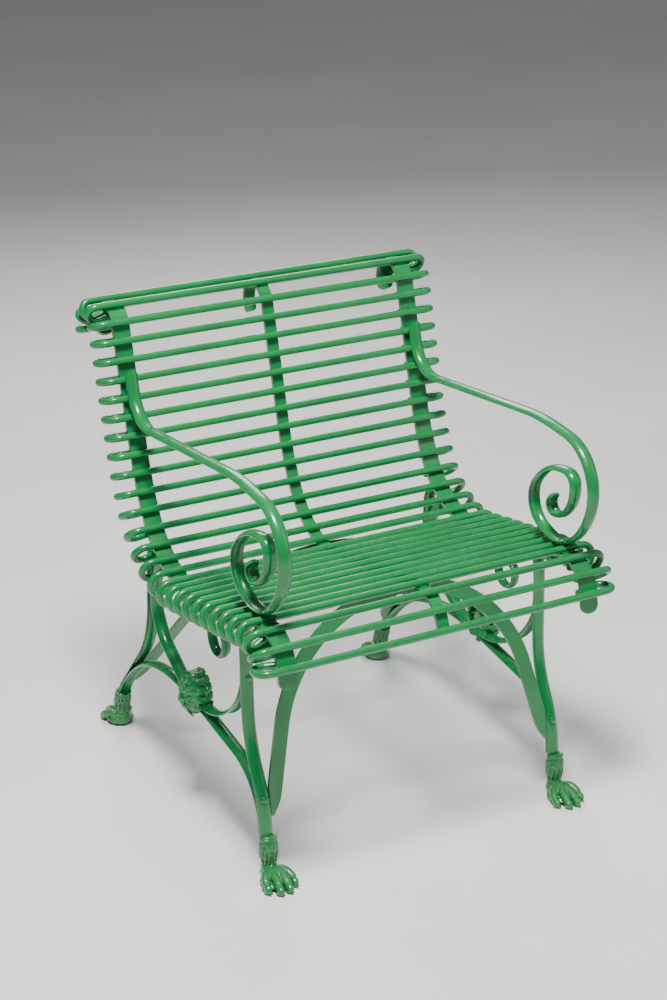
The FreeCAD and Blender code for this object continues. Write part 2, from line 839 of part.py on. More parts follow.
def reach_to_strap(under, point, heading, half_thickness):
    """How far a flat edge can go from a point in a heading before it meets the strap above."""
    along, up = ahead(heading)
    nearest = 1.0e9
    steps = int(under.length / 0.1)
    for step in range(steps):
        (y, z), _ = under.at(under.length * step / steps)
        across = (z - point[1]) * along - (y - point[0]) * up
        forward = (y - point[0]) * along + (z - point[1]) * up
        if abs(across) <= half_thickness and forward > 0.0:
            nearest = min(nearest, forward)
    return nearest


def make_arch(label, under, foot, lean):
    """An arch of flat bar between two legs, leaning by an angle from upright towards the back."""
    half_width = SIZES["arch_width"] / 2
    half_span = (SIZES["side_spread"] - SIZES["bar_width"]) / 2 - SIZES["weld_gap"]
    reach = reach_to_strap(under, foot, 90.0 - lean, SIZES["arch_thickness"] / 2)
    apex = reach - SIZES["weld_gap"] - half_width
    heading, turn = SIZES["arch_foot_heading"], SIZES["arch_foot_turn"]
    start = (-half_span, 0.0)
    toe = Route(start, heading, [arc(SIZES["arch_foot_radius"], turn)])
    steep = math.radians(heading + turn)
    wide, tall = -toe.end[0], apex - toe.end[1]
    bow = (wide * math.sin(steep) - tall * math.cos(steep)) / (1.0 - math.cos(steep))
    straight = (wide - bow * math.sin(steep)) / math.cos(steep)
    straight = write_cell(label + "_straight", straight)
    runs = [
        line(write_cell(label + "_end", half_width)),
        arc(size("arch_foot_radius"), size("arch_foot_turn")),
        line(straight),
        arc(write_cell(label + "_bow_radius", bow), -write_cell(label + "_bow_turn", 2 * (heading + turn))),
        line(straight),
        arc(size("arch_foot_radius"), size("arch_foot_turn")),
        line(write_cell(label + "_other_end", half_width)),
    ]
    body = new_body(label)
    start = shifted(start, heading, -half_width, 0.0)
    section = flat_section(size("arch_thickness"), size("arch_width"))
    sweep(body, "XZ_Plane", Route(start, heading, runs), section)
    trim_ends(body, half_span, half_width)
    body.Placement = Placement(Vector(0, foot[0], foot[1]), Rotation(Vector(1, 0, 0), -lean))


def trim_ends(body, half_span, half_width):
    """Cut both ends of an arch upright, so that they lie flat against the legs."""
    reach = 3.0 * half_width
    for sign in (-1.0, 1.0):
        sketch = new_sketch(body, "end", "XZ_Plane")
        low, high = sorted((sign * half_span, sign * (half_span + reach)))
        outline(sketch, ((low, -reach), (high, -reach), (high, reach), (low, reach)))
        doc.recompute()
        pocket = body.newObject("PartDesign::Pocket", "trimmed")
        pocket.Profile = sketch
        pocket.Midplane = True
        pocket.Length = 4.0 * SIZES["arch_thickness"]
        body.Tip = pocket


# ---------------------------------------------------------------- castings


def ellipsoid(name, centre, radii):
    """An egg-shaped lobe."""
    lobe = doc.addObject("Part::Ellipsoid", name)
    lobe.Radius2, lobe.Radius3, lobe.Radius1 = radii
    lobe.Placement = Placement(Vector(*centre), Rotation())
    return lobe


def keep_inside(label, lobes, corner, spans):
    """Fuse lobes and keep what lies inside a box."""
    fused = doc.addObject("Part::MultiFuse", label + "_lobes")
    fused.Shapes = lobes
    box = doc.addObject("Part::Box", label + "_room")
    box.Length, box.Width, box.Height = spans
    box.Placement = Placement(Vector(*corner), Rotation())
    whole = doc.addObject("Part::MultiCommon", label)
    whole.Shapes = [fused, box]
    whole.Label = label
    parts.append(whole)
    return whole


def make_paw(label, foot, heading, forward):
    """A cast lion's paw under a pair of bars; forward is -1 for toes to the front."""
    width, length, top = SIZES["paw_width"], SIZES["paw_length"], SIZES["collar_top"]
    lobes = []
    for name, across, ahead_share, up, half_wide, half_long, half_tall in PAW_LOBES:
        centre = (across * width, ahead_share * length - SIZES["paw_heel"], up * top)
        radii = (half_wide * width, half_long * length, half_tall * top)
        lobes.append(ellipsoid(label + "_" + name, centre, radii))
    collar = doc.addObject("Part::Box", label + "_collar")
    collar.Length = SIZES["collar_width"]
    collar.Width = SIZES["collar_length"]
    collar.Height = SIZES["collar_height"]
    lean = Rotation(Vector(1, 0, 0), heading - 270.0)
    offset = Vector(-SIZES["collar_width"] / 2, -SIZES["collar_length"] / 2, -SIZES["collar_height"])
    collar.Placement = Placement(Vector(0, 0, top) + lean.multVec(offset), lean)
    lobes.append(collar)
    reach = 2.0 * length
    paw = keep_inside(label, lobes, (-reach, -reach, 0.0), (2 * reach, 2 * reach, reach))
    turn = Rotation(Vector(0, 0, 1), 180.0 if forward < 0 else 0.0)
    paw.Placement = Placement(Vector(foot[0], foot[1], 0.0), turn)


def make_mask(side, sign, centre):
    """A cast lion's mask on the outer side of a side frame."""
    label = side + "_mask"
    width, height, depth = SIZES["mask_width"], SIZES["mask_height"], SIZES["mask_depth"]
    lobes = []
    for name, across, up, out, half_wide, half_tall, half_deep in MASK_LOBES:
        position = (across * width, out * depth, up * height)
        radii = (half_wide * width, half_deep * depth, half_tall * height)
        lobes.append(ellipsoid(label + "_" + name, position, radii))
    mask = keep_inside(label, lobes, (-width, 0.0, -height), (2 * width, 2 * depth, 2 * height))
    back = (SIZES["side_spread"] + SIZES["bar_width"]) / 2 + SIZES["weld_gap"]
    turn = Rotation(Vector(0, 0, 1), -90.0 * sign)
    mask.Placement = Placement(Vector(sign * back, centre[0], centre[1]), turn)


# ---------------------------------------------------------------- the whole bench


written = {}


def make_bench():
    """Build every part in place."""
    side_line = strap_route(size("lip_drop"))
    rod_line = side_line.parallel(rod_offset())
    places = rod_places(rod_line)
    make_straps()
    make_rods(rod_line, places)
    arm = arm_route(rod_line, places)
    front_leg = front_leg_route(rod_line, places)
    rear_leg = rear_leg_route(rod_line, places, front_leg.end)
    hump = hump_route(front_leg, rear_leg)
    sag = sag_route(rod_line, places, front_leg, hump)
    make_bars("arm", arm, -1, rounded=("start", "end"))
    make_bars("front_leg", front_leg, -1)
    make_bars("rear_leg", rear_leg, 1)
    make_bars("lower_side_bar", hump, 1)
    make_bars("upper_side_bar", sag, -1, rounded=("end",))
    hook = hook_route(rod_line, places)
    make_bars("hook", hook, 1, size("hook_width"), size("hook_height"), rounded=("end",))
    under = side_line.parallel(-SIZES["strap_thickness"] / 2)
    seat_lean = SIZES["front_roll_turn"] - SIZES["lip_lean"]
    make_arch("front_arch", under, arch_foot(front_leg, 1.0), seat_lean)
    make_arch("rear_arch", under, arch_foot(rear_leg, -1.0), -SIZES["rear_arch_lean"])
    for side, sign in SIDES.items():
        x = sign * SIZES["side_spread"] / 2
        make_paw(side + "_front_paw", (x, front_leg.end[0]), 270.0, -1.0)
        make_paw(side + "_rear_paw", (x, rear_leg.end[0]), rear_leg.end_heading, 1.0)
        point, _ = kiss_point(hump)
        make_mask(side, sign, (point[0] - SIZES["mask_forward"], point[1] + SIZES["mask_lift"]))


def arch_foot(leg, side):
    """Where an arch meets a leg: at the arch's foot height, a little to the inside of the pair."""
    distance = 0.0
    while leg.at(distance)[0][1] > SIZES["arch_foot_height"]:
        distance += 0.1
    point, heading = leg.at(distance)
    return shifted(point, heading, 0.0, side * SIZES["bar_height"] / 2)


def centre_bench():
    """Move everything so that the origin is under the middle of the bench."""
    points = [point for part in parts for point in part.Shape.tessellate(0.2)[0]]
    middle = (min(point.y for point in points) + max(point.y for point in points)) / 2
    floor = min(point.z for point in points)
    for part in parts:
        part.Placement.Base = part.Placement.Base + Vector(0, -middle, -floor)


def check_and_export():
    """Stop if any object or shape is bad, then write one STEP file for each part."""
    doc.recompute()
    for thing in doc.Objects:
        if "Invalid" in thing.State or "Error" in thing.State:
            raise ValueError("%s is %s" % (thing.Name, thing.State))
    os.makedirs("parts", exist_ok=True)
    for part in parts:
        if part.Shape.isNull() or not part.Shape.isValid():
            raise ValueError("the shape of %s is not valid" % part.Label)
        part.Shape.exportStep("parts/%s.step" % part.Label)


for name, value in SIZES.items():
    write_cell(name, value)
doc.recompute()
make_bench()
doc.recompute()
centre_bench()
check_and_export()
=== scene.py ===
import math
import random

import bmesh
import bpy
from mathutils import Matrix, Vector


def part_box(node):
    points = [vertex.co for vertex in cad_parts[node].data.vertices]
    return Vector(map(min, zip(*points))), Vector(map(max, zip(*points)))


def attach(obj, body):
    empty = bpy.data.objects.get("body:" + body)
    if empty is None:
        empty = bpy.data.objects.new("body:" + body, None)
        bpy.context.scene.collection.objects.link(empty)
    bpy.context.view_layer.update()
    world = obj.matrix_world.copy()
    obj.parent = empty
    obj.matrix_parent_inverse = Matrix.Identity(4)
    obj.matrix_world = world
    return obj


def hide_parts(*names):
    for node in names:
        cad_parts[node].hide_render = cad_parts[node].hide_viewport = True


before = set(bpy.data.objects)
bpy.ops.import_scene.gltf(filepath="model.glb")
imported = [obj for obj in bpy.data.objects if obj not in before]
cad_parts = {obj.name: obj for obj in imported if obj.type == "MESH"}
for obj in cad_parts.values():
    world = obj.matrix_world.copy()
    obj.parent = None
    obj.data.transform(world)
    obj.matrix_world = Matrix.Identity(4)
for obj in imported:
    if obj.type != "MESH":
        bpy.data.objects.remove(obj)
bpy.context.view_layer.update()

bl_info = {
    "name": "Wrought iron garden bench",
    "version": (1, 0, 0),
    "blender": (4, 5, 0),
    "location": "3D View > Sidebar > Bench",
    "description": "Paint, castings, welds and rivets for a one-seat wrought iron bench",
    "category": "Add Mesh",
}

MM = 0.001
BODY = "root"
SIDES = {"left": -1, "right": 1}


# Meshes

def unit_ball(detail):
    """The corners and faces of a ball of radius one."""
    bm = bmesh.new()
    bmesh.ops.create_icosphere(bm, subdivisions=detail, radius=1.0)
    corners = [v.co.copy() for v in bm.verts]
    faces = [[v.index for v in f.verts] for f in bm.faces]
    bm.free()
    return corners, faces


BALL = unit_ball(2)


class Clay:
    """Lumps of clay in a local frame, which are fused into one casting."""

    def __init__(self, place):
        self.place = place
        self.corners = []
        self.faces = []

    def lump(self, at, radii):
        """An ellipsoid. Its centre and radii are in millimetres in the local frame."""
        corners, faces = BALL
        start = len(self.corners)
        for c in corners:
            point = [a + r * e for a, r, e in zip(at, radii, c)]
            self.corners.append(self.place(*point))
        self.faces += [[start + i for i in f] for f in faces]

    def pair(self, at, radii):
        """The same ellipsoid on both sides of the middle."""
        self.lump(at, radii)
        self.lump((-at[0], at[1], at[2]), radii)

    def lock(self, points, thick, thin, step=1.1):
        """A tapering lock of hair or a ridge, along a smooth curve through its points."""
        length = sum(math.dist(a, b) for a, b in zip(points, points[1:]))
        count = max(4, int(length / step))
        for n in range(count + 1):
            t = n / count
            radius = thick + (thin - thick) * t
            self.lump(along(points, t), (radius,) * 3)

    def mirrored_lock(self, points, thick, thin):
        """The same lock on both sides of the middle."""
        self.lock(points, thick, thin)
        self.lock([(-a, u, o) for a, u, o in points], thick, thin)

    def fuse(self, name, voxel, limits):
        """One closed mesh of all the lumps, kept inside its box."""
        rough = new_object(name + "_clay", self.corners, self.faces)
        remesh = rough.modifiers.new("Fuse", "REMESH")
        remesh.mode = "VOXEL"
        remesh.voxel_size = voxel * MM
        smooth = rough.modifiers.new("Smooth", "SMOOTH")
        smooth.factor = 0.5
        smooth.iterations = 2
        graph = bpy.context.evaluated_depsgraph_get()
        mesh = bpy.data.meshes.new_from_object(rough.evaluated_get(graph))
        bpy.data.objects.remove(rough)
        lo, hi = limits
        for v in mesh.vertices:
            v.co = [min(max(c, a), b) for c, a, b in zip(v.co, lo, hi)]
        mesh.name = name
        piece = bpy.data.objects.new(name, mesh)
        bpy.context.scene.collection.objects.link(piece)
        shade_smooth(mesh)
        return piece


def along(points, t):
    """A point on the Bezier curve that these control points give."""
    work = [Vector(p) for p in points]
    while len(work) > 1:
        work = [a.lerp(b, t) for a, b in zip(work, work[1:])]
    return work[0]


def new_object(name, corners, faces):
    """A mesh object in the scene, from its corners in metres and its faces."""
    mesh = bpy.data.meshes.new(name)
    mesh.from_pydata([tuple(c) for c in corners], [], faces)
    mesh.update()
    piece = bpy.data.objects.new(name, mesh)
    bpy.context.scene.collection.objects.link(piece)
    return piece


def shade_smooth(mesh):
    mesh.polygons.foreach_set("use_smooth", [True] * len(mesh.polygons))


def turned(centre, axis, profile, segments=28):
    """Corners and faces of a turned head: profile holds (radius, height) pairs from rim to crown."""
    axis = Vector(axis).normalized()
    across = axis.orthogonal().normalized()
    other = axis.cross(across)
    corners, faces = [], []
    for radius, height in profile:
        for n in range(segments):
            a = math.tau * n / segments
            spoke = across * math.cos(a) + other * math.sin(a)
            corners.append(centre + spoke * radius * MM + axis * height * MM)
    rings = len(profile)
    for r in range(rings - 1):
        for n in range(segments):
            m = (n + 1) % segments
            below, above = r * segments, (r + 1) * segments
            faces.append([below + n, below + m, above + m, above + n])
    faces.append([(rings - 1) * segments + n for n in range(segments)])
    faces.append([n for n in reversed(range(segments))])
    return corners, faces


def finish_piece(piece, material):
    """Paints a piece and lets it ride with the frame."""
    piece.data.materials.clear()
    piece.data.materials.append(material)
    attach(piece, BODY)
    return piece


# Materials

RUST_DARK = (0.035, 0.016, 0.009, 1)
RUST_LIGHT = (0.16, 0.055, 0.018, 1)
CHIP_RIM = (0.0, 0.09, 0.03, 1)
DRY_DUST = (0.36, 0.42, 0.27, 1)
SOIL = (0.17, 0.13, 0.07, 1)
FLOOR_DARK = (0.78, 0.77, 0.74, 1)
FLOOR_LIGHT = (0.84, 0.83, 0.80, 1)
SKY = (0.86, 0.90, 0.95, 1)
SKY_STRENGTH = 0.2
SPLASH_HEIGHT = 0.11
BUMP_DEPTH = 0.0006
WORN_ROUGHNESS = 0.45


def link(tree, source, target):
    tree.links.new(source, target)


def add_node(tree, kind, **settings):
    """A new node with its settings."""
    node = tree.nodes.new(kind)
    for name, value in settings.items():
        setattr(node, name, value)
    return node


def plug(tree, value, socket):
    """Links a socket to another node's output, or gives it a plain value."""
    if isinstance(value, bpy.types.NodeSocket):
        link(tree, value, socket)
    else:
        socket.default_value = value


def feed(tree, node, **inputs):
    """Plugs a node's inputs by name, with spaces written as underscores."""
    for name, value in inputs.items():
        plug(tree, value, node.inputs[name.replace("_", " ")])


def maths(tree, operation, a, b):
    """A sum, product or other result of two values."""
    node = add_node(tree, "ShaderNodeMath", operation=operation)
    plug(tree, a, node.inputs[0])
    plug(tree, b, node.inputs[1])
    return node.outputs[0]


def spread(tree, value, low, high, out_low=0.0, out_high=1.0):
    """A value between low and high, spread over a new range."""
    node = add_node(tree, "ShaderNodeMapRange", clamp=True)
    feed(tree, node, Value=value, From_Min=low, From_Max=high, To_Min=out_low, To_Max=out_high)
    return node.outputs["Result"]


def mix_colour(tree, factor, a, b):
    """Colour a where the factor is 0, and colour b where it is 1."""
    node = add_node(tree, "ShaderNodeMix", data_type="RGBA")
    for index, value in ((0, factor), (6, a), (7, b)):
        plug(tree, value, node.inputs[index])
    return node.outputs[2]


def noise(tree, where, scale, detail=4.0, roughness=0.55, stretch=None):
    """A noise value over the surface, stretched along an axis if asked for."""
    if stretch:
        mapping = add_node(tree, "ShaderNodeMapping")
        feed(tree, mapping, Vector=where, Scale=stretch)
        where = mapping.outputs["Vector"]
    node = add_node(tree, "ShaderNodeTexNoise")
    feed(tree, node, Vector=where, Scale=scale, Detail=detail, Roughness=roughness)
    return node.outputs["Fac"]


def new_group(name, inputs, outputs):
    """An empty node group with named sockets: (name, kind, default) and (name, kind)."""
    tree = bpy.data.node_groups.new(name, "ShaderNodeTree")
    for label, kind, default in inputs:
        socket = tree.interface.new_socket(name=label, in_out="INPUT", socket_type="NodeSocket" + kind)
        socket.default_value = default
    for label, kind in outputs:
        tree.interface.new_socket(name=label, in_out="OUTPUT", socket_type="NodeSocket" + kind)
    return tree, tree.nodes.new("NodeGroupInput").outputs, tree.nodes.new("NodeGroupOutput").inputs


def coat_of_enamel_group():
    """Uneven brushed paint: its tone, brush marks, orange peel and gloss."""
    tree, given, out = new_group(
        "Coat of enamel",
        [("Paint", "Color", (0.01, 0.33, 0.1, 1)), ("Deep Paint", "Color", (0.0, 0.2, 0.06, 1)),
         ("Gloss Roughness", "Float", 0.25), ("Peel Scale", "Float", 420.0),
         ("Brush Marks", "Float", 0.5), ("Vector", "Vector", (0, 0, 0))],
        [("Color", "Color"), ("Roughness", "Float"), ("Height", "Float")])
    where = given["Vector"]
    clouds = noise(tree, where, 11.0, 5.0)
    strokes = noise(tree, where, 90.0, 3.0, stretch=(0.12, 1.0, 0.55))
    peel = noise(tree, where, given["Peel Scale"], 2.0)
    drips = noise(tree, where, 38.0, 2.0, stretch=(1.0, 1.0, 0.18))
    tone = maths(tree, "ADD", spread(tree, clouds, 0.38, 0.66, 0.0, 0.4),
                 maths(tree, "MULTIPLY", spread(tree, strokes, 0.35, 0.7, 0.0, 0.3), given["Brush Marks"]))
    link(tree, mix_colour(tree, tone, given["Paint"], given["Deep Paint"]), out["Color"])
    rough = maths(tree, "ADD", given["Gloss Roughness"], spread(tree, clouds, 0.3, 0.7, -0.04, 0.12))
    rough = maths(tree, "ADD", rough, spread(tree, drips, 0.45, 0.75, 0.0, 0.08))
    link(tree, rough, out["Roughness"])
    marks = maths(tree, "MULTIPLY", strokes, given["Brush Marks"])
    height = maths(tree, "ADD", maths(tree, "MULTIPLY", peel, 0.35), marks)
    height = maths(tree, "ADD", height, maths(tree, "MULTIPLY", drips, 0.5))
    link(tree, height, out["Height"])
    return tree


def chips_group():
    """Small chips where the paint is gone, gathered in patches."""
    tree, given, out = new_group(
        "Paint chips",
        [("Amount", "Float", 0.5), ("Chip Scale", "Float", 260.0), ("Vector", "Vector", (0, 0, 0))],
        [("Mask", "Float"), ("Rim", "Float")])
    where = given["Vector"]
    fine = noise(tree, where, given["Chip Scale"], 4.0, 0.6)
    patch = noise(tree, where, 14.0, 2.0)
    edge = maths(tree, "SUBTRACT", 0.82, maths(tree, "MULTIPLY", given["Amount"], 0.12))
    field = maths(tree, "ADD", fine, spread(tree, patch, 0.4, 0.75, -0.05, 0.16))
    beyond = maths(tree, "SUBTRACT", field, edge)
    link(tree, spread(tree, beyond, 0.0, 0.012), out["Mask"])
    link(tree, spread(tree, beyond, -0.03, 0.0), out["Rim"])
    return tree


def dust_group():
    """Dry dust and pollen on the surfaces that face up, and grime low on the legs."""
    tree, given, out = new_group(
        "Outdoor dust",
        [("Dust", "Float", 0.3), ("Splash", "Float", 0.4), ("Vector", "Vector", (0, 0, 0))],
        [("Dust Mask", "Float"), ("Splash Mask", "Float")])
    where = given["Vector"]
    normal = add_node(tree, "ShaderNodeSeparateXYZ")
    link(tree, tree.nodes.new("ShaderNodeNewGeometry").outputs["Normal"], normal.inputs[0])
    place = add_node(tree, "ShaderNodeSeparateXYZ")
    link(tree, where, place.inputs[0])
    speckle = spread(tree, noise(tree, where, 60.0, 6.0, 0.7), 0.42, 0.72)
    up = spread(tree, normal.outputs["Z"], 0.35, 1.0)
    dusty = maths(tree, "MULTIPLY", up, speckle)
    link(tree, maths(tree, "MULTIPLY", dusty, given["Dust"]), out["Dust Mask"])
    low = spread(tree, place.outputs["Z"], SPLASH_HEIGHT, 0.0)
    splash = maths(tree, "MULTIPLY", low, spread(tree, noise(tree, where, 120.0, 5.0, 0.65), 0.45, 0.62))
    link(tree, maths(tree, "MULTIPLY", splash, given["Splash"]), out["Splash Mask"])
    return tree


GROUPS = {}


def shared_group(name, make):
    """A node group that is made once and used by every material."""
    if name not in GROUPS:
        GROUPS[name] = make()
    return GROUPS[name]


def place_group(tree, name, make, **inputs):
    node = add_node(tree, "ShaderNodeGroup", node_tree=shared_group(name, make))
    feed(tree, node, **inputs)
    return node.outputs


def enamel(name, settings, peel_scale, brush, chips, bump, lumps=0.0):
    """Green garden enamel over iron, with its own grain, wear and dust."""
    material = bpy.data.materials.new(name)
    material.use_nodes = True
    tree = material.node_tree
    shader = tree.nodes["Principled BSDF"]
    where = tree.nodes.new("ShaderNodeTexCoord").outputs["Object"]
    coat = place_group(tree, "coat", coat_of_enamel_group, Paint=(*settings.paint, 1),
                       Deep_Paint=(*settings.deep_paint, 1), Gloss_Roughness=settings.gloss_roughness,
                       Peel_Scale=peel_scale, Brush_Marks=brush, Vector=where)
    chip = place_group(tree, "chips", chips_group, Amount=chips, Vector=where)
    dust = place_group(tree, "dust", dust_group, Dust=settings.dust, Splash=settings.splash, Vector=where)
    rust = mix_colour(tree, noise(tree, where, 350.0, 3.0), RUST_DARK, RUST_LIGHT)
    colour = mix_colour(tree, maths(tree, "MULTIPLY", chip["Rim"], 0.35), coat["Color"], CHIP_RIM)
    colour = mix_colour(tree, chip["Mask"], colour, rust)
    colour = mix_colour(tree, dust["Dust Mask"], colour, DRY_DUST)
    colour = mix_colour(tree, dust["Splash Mask"], colour, SOIL)
    link(tree, colour, shader.inputs["Base Color"])
    dirt = maths(tree, "MAXIMUM", dust["Dust Mask"], dust["Splash Mask"])
    worn = maths(tree, "MAXIMUM", dirt, chip["Mask"])
    dulled = maths(tree, "MULTIPLY", worn, WORN_ROUGHNESS)
    link(tree, maths(tree, "ADD", coat["Roughness"], dulled), shader.inputs["Roughness"])
    height = maths(tree, "SUBTRACT", coat["Height"], maths(tree, "MULTIPLY", chip["Mask"], 1.4))
    if lumps:
        pits = noise(tree, where, 900.0, 3.0, 0.6)
        height = maths(tree, "ADD", height, maths(tree, "MULTIPLY", pits, lumps))
    bumps = add_node(tree, "ShaderNodeBump")
    feed(tree, bumps, Strength=bump, Distance=BUMP_DEPTH, Height=height)
    link(tree, bumps.outputs["Normal"], shader.inputs["Normal"])
    shader.inputs["Specular IOR Level"].default_value = 0.35
    shader.inputs["Coat Weight"].default_value = settings.coat
    shader.inputs["Coat Roughness"].default_value = 0.09
    return material


def floor_material():
    """Pale sealed plaster with faint clouds and a fine grain."""
    material = bpy.data.materials.new("Pale floor")
    material.use_nodes = True
    tree = material.node_tree
    shader = tree.nodes["Principled BSDF"]
    where = tree.nodes.new("ShaderNodeTexCoord").outputs["Object"]
    clouds = spread(tree, noise(tree, where, 1.3, 5.0), 0.3, 0.7)
    link(tree, mix_colour(tree, clouds, FLOOR_DARK, FLOOR_LIGHT), shader.inputs["Base Color"])
    link(tree, spread(tree, clouds, 0.0, 1.0, 0.62, 0.78), shader.inputs["Roughness"])
    bumps = add_node(tree, "ShaderNodeBump")
    feed(tree, bumps, Strength=0.15, Distance=0.001, Height=noise(tree, where, 160.0, 4.0))
    link(tree, bumps.outputs["Normal"], shader.inputs["Normal"])
    return material


MATERIALS = {}


def shared_material(name, make):
    """A material that is made once, on first use."""
    if name not in MATERIALS:
        MATERIALS[name] = make()
    return MATERIALS[name]


def bar_enamel():
    """Smooth brushed paint on the bars, rods and straps."""
    paint = bpy.context.scene.bench_paint
    return shared_material("bar", lambda: enamel(
        "Bar enamel", paint, peel_scale=420.0, brush=0.5, chips=paint.chips, bump=0.35))


def cast_enamel():
    """Paint over the pitted skin of the castings and rivets."""
    paint = bpy.context.scene.bench_paint
    return shared_material("cast", lambda: enamel(
        "Casting enamel", paint, peel_scale=300.0, brush=0.25, chips=paint.chips + 0.25, bump=0.5, lumps=0.8))


def weld_enamel():
    """Paint over the rough weld beads, which chips first."""
    paint = bpy.context.scene.bench_paint
    return shared_material("weld", lambda: enamel(
        "Weld enamel", paint, peel_scale=500.0, brush=0.1, chips=paint.chips + 0.4, bump=0.6, lumps=0.6))


# Castings

# A lock's way outwards: its share of the reach, its swing, and its height above the back of the mask.
BACK_SWEEP = ((0.6, 0.0, 7.0), (1.1, 0.9, 5.0), (0.85, -1.3, -8.0), (0.9, 0.9, -16.5))
OUTER_SWEEP = ((0.0, 0.0, 13.5), (0.45, 0.55, 15.0), (0.85, -0.9, 10.0), (1.0, 0.5, 5.5))
INNER_SWEEP = ((0.0, 0.0, 17.5), (0.45, 0.55, 19.0), (0.8, -0.9, 15.5), (1.0, 0.5, 12.0))

# Rows of fur round an ankle: the heights of their roots and tips, their half width and half depth,
# and their number.
RUFF_ROWS = ((62.5, 47.0, 13.0, 10.2, 12), (53.0, 38.0, 13.4, 11.0, 12), (43.0, 29.0, 11.2, 9.8, 10))


def make_mask(side, settings):
    """A lion's face in a full mane that wraps round the crossing of the side bars."""
    node = side + "_mask"
    lo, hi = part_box(node)
    middle = (lo + hi) / 2
    out = SIDES[side]
    back = hi.x if out < 0 else lo.x
    if out < 0:
        hi.x += settings.wrap
    else:
        lo.x -= settings.wrap

    def place(a, u, o):
        return Vector((back + out * o * MM, middle.y + a * MM, middle.z + u * MM))

    draw = random.Random(settings.seed)
    clay = Clay(place)
    clay.lump((0, 0, -6), (24, 27, 13))
    clay.lump((0, 0, 7), (25, 30, 8))
    clay.lump((0, -1, 12), (16.5, 20, 11))
    clay.lump((0, 10, 15.5), (12.5, 9.5, 7.5))
    clay.pair((10.5, -4.5, 15.5), (6, 7, 6.5))
    clay.lump((0, -9.5, 18.5), (8.4, 7, 8.5))
    clay.pair((4.2, -10.2, 22.8), (4.9, 4.3, 4.8))
    clay.lump((0, -5.4, 26.6), (3.9, 2.4, 2.8))
    clay.pair((2.4, -5.9, 26.2), (2.0, 1.7, 2.2))
    clay.lump((0, -18.8, 18.4), (4.8, 3.2, 5.0))
    clay.mirrored_lock([(1.1, -14.8, 22.6), (4.5, -17.4, 22), (8.4, -14.8, 18.5)], 0.9, 0.7)
    clay.lock([(0, 13, 21), (0, 5, 23.8), (0, -4, 26)], 2.8, 3.1)
    clay.mirrored_lock([(2.4, 6.2, 22.6), (8, 13, 24), (14.6, 4.6, 16.8)], 2.3, 1.7)
    clay.mirrored_lock([(3.2, 1.9, 20.6), (7, -2.0, 21.8), (11.8, 1.4, 17.4)], 1.1, 0.9)
    clay.mirrored_lock([(3.2, 3.4, 21), (7.2, 7.4, 22.8), (12.0, 3.2, 18.0)], 1.1, 0.9)
    clay.pair((7.3, 2.4, 18.9), (3.1, 2.4, 2.7))
    clay.pair((15.6, 15.5, 16), (4.4, 5.2, 3.8))
    clay.mirrored_lock([(1.8, 12, 21.5), (2.2, 19, 22.5), (6.5, 24, 17)], 2.2, 1.8)
    mane(clay, draw, settings.locks - 6, (20, 22), (33.0, 37.4), BACK_SWEEP, 5.4, 3.4)
    mane(clay, draw, settings.locks, (20, 22), (33.0, 37.2), OUTER_SWEEP, 3.0, 1.2)
    mane(clay, draw, settings.locks - 5, (15.5, 17), (27, 30), INNER_SWEEP, 2.5, 1.1)
    for n in range(-3, 4):
        sway = draw.uniform(-1.5, 1.5)
        clay.lock([(n * 2.6, -20.5, 17), (n * 4.2 + sway, -28, 18), (n * 4.0 - sway, -37.0, 8)], 2.5, 1.2)
    piece = clay.fuse(side + "_lion_mask", settings.voxel, (lo, hi))
    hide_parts(node)
    return finish_piece(piece, cast_enamel())


def mane(clay, draw, count, inner, outer, sweep, thick, thin):
    """One ring of curling locks, each made of three strands side by side."""
    for n in range(count):
        angle = math.tau * (n + 0.5) / count + math.pi / 2
        curl = (1 if math.cos(angle) > 0 else -1) * draw.uniform(0.16, 0.32)
        reach = draw.uniform(0.93, 1.0)
        lift = draw.uniform(-1.0, 1.2)
        for strand in (-1, 0, 1):
            lean = angle + strand * 0.1
            far = reach * (1.0 if strand == 0 else 0.95)
            points = []
            for share, turn, height in sweep:
                a = lean + turn * curl
                ra = inner[0] + (outer[0] * far - inner[0]) * share
                ru = inner[1] + (outer[1] * far - inner[1]) * share
                points.append((ra * math.cos(a), ru * math.sin(a), lift + height - abs(strand) * 0.8))
            clay.lock(points, thick * 0.78, thin)


